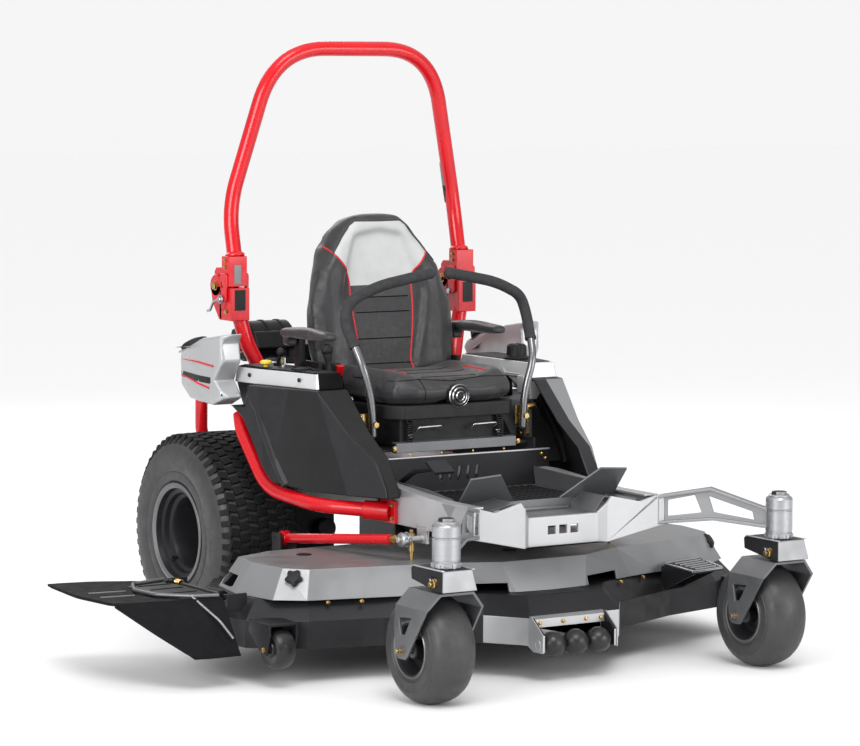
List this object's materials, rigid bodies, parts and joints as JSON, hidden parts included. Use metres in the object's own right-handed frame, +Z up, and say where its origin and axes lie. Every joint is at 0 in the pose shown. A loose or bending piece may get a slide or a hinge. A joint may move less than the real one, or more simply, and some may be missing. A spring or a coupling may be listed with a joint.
{
  "type": "zero turn mower",
  "caption": "Ride-on zero turn mower with folding roll bar, suspended seat, twin control levers, sprung front casters and a lifting deck with a side discharge chute.",
  "frame": {"origin": "bottom centre of the bounding box, on the ground the tyres stand on", "axes": "+Z up, -Y forward, +X towards the operator's left; the discharge chute is on the operator's right, -X"},
  "size_m": [2.265, 1.985, 1.9489],
  "materials": {
    "silver_paint": "satin silver metallic",
    "red_paint": "gloss",
    "dark_steel": "satin dark grey powder coat",
    "grey_steel": "satin grey powder coat",
    "black_plastic": "fine moulded grain",
    "tyre_rubber": "matte",
    "black_rubber": "matte moulded",
    "seat_vinyl": "grained vinyl with red piping",
    "bright_steel": "satin",
    "zinc_gold": "yellow zinc plate",
    "yellow_plastic": "gloss",
    "cast_alloy": "painted casting",
    "silver_plastic": "silver painted moulding"
  },
  "bodies": {
    "chassis": {"main_frame": "silver_paint", "front_axle": "silver_paint", "foot_platform": "grey_steel", "seat_base": "dark_steel", "side_rail_right": "red_paint", "side_rail_left": "red_paint", "rops_base": "red_paint", "pod_right": "black_plastic", "pod_left": "black_plastic", "console_right": "silver_plastic", "console_left": "silver_plastic", "fuel_tank_right": "silver_plastic", "fuel_tank_left": "silver_plastic", "engine_block": "cast_alloy", "engine_cover": "black_plastic", "transaxle_right": "cast_alloy", "transaxle_left": "cast_alloy"},
    "rops_hoop": {"rops_hoop": "red_paint"},
    "rops_pin_right": {"rops_pin_right": "bright_steel"},
    "rops_pin_left": {"rops_pin_left": "bright_steel"},
    "seat": {"seat_shell": "black_plastic", "seat_cushion": "seat_vinyl"},
    "seat_back": {"seat_back": "seat_vinyl"},
    "armrest_right": {"armrest_right": "seat_vinyl"},
    "armrest_left": {"armrest_left": "seat_vinyl"},
    "seat_knob": {"seat_knob": "black_plastic"},
    "brake_lever": {"brake_lever": "bright_steel"},
    "lift_pedal": {"lift_pedal": "dark_steel"},
    "throttle_lever": {"throttle_lever": "black_plastic"},
    "height_dial": {"height_dial": "black_plastic"},
    "pto_switch": {"pto_switch": "yellow_plastic"},
    "ignition_key": {"ignition_key": "bright_steel"},
    "crank_pulley": {"crank_pulley": "zinc_gold"},
    "deck": {"deck_shell": "dark_steel", "deck_cover": "silver_paint"},
    "blade_right": {"blade_right": "dark_steel"},
    "blade_centre": {"blade_centre": "dark_steel"},
    "blade_left": {"blade_left": "dark_steel"},
    "drag_links": {"drag_link_right": "red_paint", "drag_link_left": "red_paint"},
    "discharge_chute": {"discharge_chute": "black_rubber"},
    "nose_roller": {"nose_roller": "black_rubber"},
    "rear_wheel_right": {"rear_tyre_right": "tyre_rubber", "rear_rim_right": "dark_steel"},
    "caster_swivel_right": {"caster_block_right": "grey_steel"},
    "caster_fork_right": {"caster_fork_right": "grey_steel"},
    "caster_wheel_right": {"caster_wheel_right": "tyre_rubber"},
    "lever_yoke_right": {"lever_yoke_right": "zinc_gold"},
    "control_lever_right": {"control_lever_right": "bright_steel"},
    "fuel_cap_right": {"fuel_cap_right": "black_plastic"},
    "anti_scalp_wheel_right": {"anti_scalp_wheel_right": "black_rubber"},
    "rear_wheel_left": {"rear_tyre_left": "tyre_rubber", "rear_rim_left": "dark_steel"},
    "caster_swivel_left": {"caster_block_left": "grey_steel"},
    "caster_fork_left": {"caster_fork_left": "grey_steel"},
    "caster_wheel_left": {"caster_wheel_left": "tyre_rubber"},
    "lever_yoke_left": {"lever_yoke_left": "zinc_gold"},
    "control_lever_left": {"control_lever_left": "bright_steel"},
    "fuel_cap_left": {"fuel_cap_left": "black_plastic"},
    "anti_scalp_wheel_left": {"anti_scalp_wheel_left": "black_rubber"}
  },
  "joints": [
    {"name": "rops_fold", "type": "hinge", "parent": "chassis", "child": "rops_hoop", "pos_m": [0.1975, 0.7135, 1.14], "axis": [-1, 0, 0], "range_deg": [0, 100]},
    {"name": "rops_pin_pull_right", "type": "slide", "parent": "chassis", "child": "rops_pin_right", "axis": [-1, 0, 0], "range_m": [0, 0.07]},
    {"name": "rear_wheel_spin_right", "type": "hinge", "parent": "chassis", "child": "rear_wheel_right", "pos_m": [-0.3025, 0.6625, 0.33], "axis": [1, 0, 0], "continuous": true},
    {"name": "caster_turn_right", "type": "hinge", "parent": "chassis", "child": "caster_swivel_right", "pos_m": [-0.4145, -0.9125, 0.45], "axis": [0, 0, 1], "continuous": true},
    {"name": "caster_suspension_right", "type": "hinge", "parent": "caster_swivel_right", "child": "caster_fork_right", "pos_m": [-0.4145, -0.9275, 0.38], "axis": [1, 0, 0], "range_deg": [0, 5], "stiffness_Nm_per_rad": 6000, "springref_deg": -3.44},
    {"name": "caster_spin_right", "type": "hinge", "parent": "caster_fork_right", "child": "caster_wheel_right", "pos_m": [-0.4145, -0.8275, 0.165], "axis": [1, 0, 0], "continuous": true},
    {"name": "lever_drive_right", "type": "hinge", "parent": "chassis", "child": "lever_yoke_right", "pos_m": [-0.0905, 0.0455, 0.668], "axis": [1, 0, 0], "range_deg": [-8, 14], "stiffness_Nm_per_rad": 120},
    {"name": "lever_swing_right", "type": "hinge", "parent": "lever_yoke_right", "child": "control_lever_right", "pos_m": [-0.0905, 0.0275, 0.728], "axis": [0, -1, 0], "range_deg": [0, 21]},
    {"name": "armrest_lift_right", "type": "hinge", "parent": "seat", "child": "armrest_right", "pos_m": [-0.1275, 0.4995, 0.985], "axis": [-1, 0, 0], "range_deg": [0, 85]},
    {"name": "fuel_cap_turn_right", "type": "hinge", "parent": "chassis", "child": "fuel_cap_right", "pos_m": [-0.3685, 0.6795, 0.926], "axis": [-0.1605, 0.4212, 0.8926], "continuous": true},
    {"name": "anti_scalp_spin_right", "type": "hinge", "parent": "deck", "child": "anti_scalp_wheel_right", "pos_m": [-0.6785, -0.3925, 0.122], "axis": [1, 0, 0], "continuous": true},
    {"name": "rops_pin_pull_left", "type": "slide", "parent": "chassis", "child": "rops_pin_left", "axis": [1, 0, 0], "range_m": [0, 0.07]},
    {"name": "rear_wheel_spin_left", "type": "hinge", "parent": "chassis", "child": "rear_wheel_left", "pos_m": [0.6975, 0.6625, 0.33], "axis": [1, 0, 0], "continuous": true},
    {"name": "caster_turn_left", "type": "hinge", "parent": "chassis", "child": "caster_swivel_left", "pos_m": [0.8095, -0.9125, 0.45], "axis": [0, 0, 1], "continuous": true},
    {"name": "caster_suspension_left", "type": "hinge", "parent": "caster_swivel_left", "child": "caster_fork_left", "pos_m": [0.8095, -0.9275, 0.38], "axis": [1, 0, 0], "range_deg": [0, 5], "stiffness_Nm_per_rad": 6000, "springref_deg": -3.44},
    {"name": "caster_spin_left", "type": "hinge", "parent": "caster_fork_left", "child": "caster_wheel_left", "pos_m": [0.8095, -0.8275, 0.165], "axis": [1, 0, 0], "continuous": true},
    {"name": "lever_drive_left", "type": "hinge", "parent": "chassis", "child": "lever_yoke_left", "pos_m": [0.4855, 0.0455, 0.668], "axis": [1, 0, 0], "range_deg": [-8, 14], "stiffness_Nm_per_rad": 120},
    {"name": "lever_swing_left", "type": "hinge", "parent": "lever_yoke_left", "child": "control_lever_left", "pos_m": [0.4855, 0.0275, 0.728], "axis": [0, 1, 0], "range_deg": [0, 21]},
    {"name": "armrest_lift_left", "type": "hinge", "parent": "seat", "child": "armrest_left", "pos_m": [0.5225, 0.4995, 0.985], "axis": [-1, 0, 0], "range_deg": [0, 85]},
    {"name": "fuel_cap_turn_left", "type": "hinge", "parent": "chassis", "child": "fuel_cap_left", "pos_m": [0.7635, 0.6795, 0.926], "axis": [0.1605, 0.4212, 0.8926], "continuous": true},
    {"name": "anti_scalp_spin_left", "type": "hinge", "parent": "deck", "child": "anti_scalp_wheel_left", "pos_m": [1.0735, -0.3925, 0.122], "axis": [1, 0, 0], "continuous": true},
    {"name": "seat_slide", "type": "slide", "parent": "chassis", "child": "seat", "axis": [0, 1, 0], "range_m": [0, 0.05]},
    {"name": "seat_recline", "type": "hinge", "parent": "seat", "child": "seat_back", "pos_m": [0.1975, 0.4375, 0.86], "axis": [-1, 0, 0], "range_deg": [0, 6]},
    {"name": "seat_knob_turn", "type": "hinge", "parent": "seat", "child": "seat_knob", "pos_m": [0.1975, -0.0125, 0.811], "axis": [0, 1, 0], "range_deg": [-150, 150]},
    {"name": "brake_pull", "type": "hinge", "parent": "chassis", "child": "brake_lever", "pos_m": [-0.1125, 0.1375, 0.8], "axis": [-1, 0, 0], "range_deg": [0, 30]},
    {"name": "throttle", "type": "hinge", "parent": "chassis", "child": "throttle_lever", "pos_m": [-0.2225, 0.4075, 0.899], "axis": [-1, 0, 0], "range_deg": [0, 30]},
    {"name": "height_dial_turn", "type": "hinge", "parent": "chassis", "child": "height_dial", "pos_m": [0.6015, 0.2395, 0.9], "axis": [0, 0, 1], "range_deg": [-140, 140]},
    {"name": "pto_pull", "type": "slide", "parent": "chassis", "child": "pto_switch", "axis": [0, 0, 1], "range_m": [0, 0.008]},
    {"name": "key_turn", "type": "hinge", "parent": "chassis", "child": "ignition_key", "pos_m": [-0.2525, 0.3175, 0.9], "axis": [0, 0, -1], "range_deg": [0, 90]},
    {"name": "deck_lift", "type": "slide", "parent": "chassis", "child": "deck", "axis": [0, 0, 1], "range_m": [0, 0.04]},
    {"name": "drag_link_swing", "type": "hinge", "parent": "chassis", "child": "drag_links", "pos_m": [0.1975, -0.3595, 0.414], "axis": [1, 0, 0], "range_deg": [0, 4.2]},
    {"name": "lift_pedal_press", "type": "hinge", "parent": "chassis", "child": "lift_pedal", "pos_m": [-0.0905, -0.0725, 0.536], "axis": [1, 0, 0], "range_deg": [0, 18.1]},
    {"name": "blade_spin_centre", "type": "hinge", "parent": "deck", "child": "blade_centre", "pos_m": [0.1975, -0.3275, 0.127], "axis": [0, 0, 1], "continuous": true},
    {"name": "blade_spin_right", "type": "hinge", "parent": "deck", "child": "blade_right", "pos_m": [-0.4025, -0.0725, 0.127], "axis": [0, 0, 1], "continuous": true},
    {"name": "blade_spin_left", "type": "hinge", "parent": "deck", "child": "blade_left", "pos_m": [0.7975, -0.0725, 0.127], "axis": [0, 0, 1], "continuous": true},
    {"name": "crank_spin", "type": "hinge", "parent": "chassis", "child": "crank_pulley", "pos_m": [0.1975, 0.6875, 0.5], "axis": [0, 0, 1], "continuous": true},
    {"name": "nose_roller_spin", "type": "hinge", "parent": "deck", "child": "nose_roller", "pos_m": [0.1975, -0.7365, 0.118], "axis": [1, 0, 0], "continuous": true},
    {"name": "chute_lift", "type": "hinge", "parent": "deck", "child": "discharge_chute", "pos_m": [-0.7545, -0.0125, 0.262], "axis": [0, 1, 0], "range_deg": [0, 90]}
  ],
  "couplings": [
    {"joint": "drag_link_swing", "follows": "deck_lift", "rad_per_m": 1.8165},
    {"joint": "lift_pedal_press", "follows": "deck_lift", "rad_per_m": 7.854},
    {"joint": "blade_spin_right", "follows": "blade_spin_centre", "ratio": 1},
    {"joint": "blade_spin_left", "follows": "blade_spin_centre", "ratio": 1},
    {"joint": "crank_spin", "follows": "blade_spin_centre", "ratio": 1.0256}
  ]
}
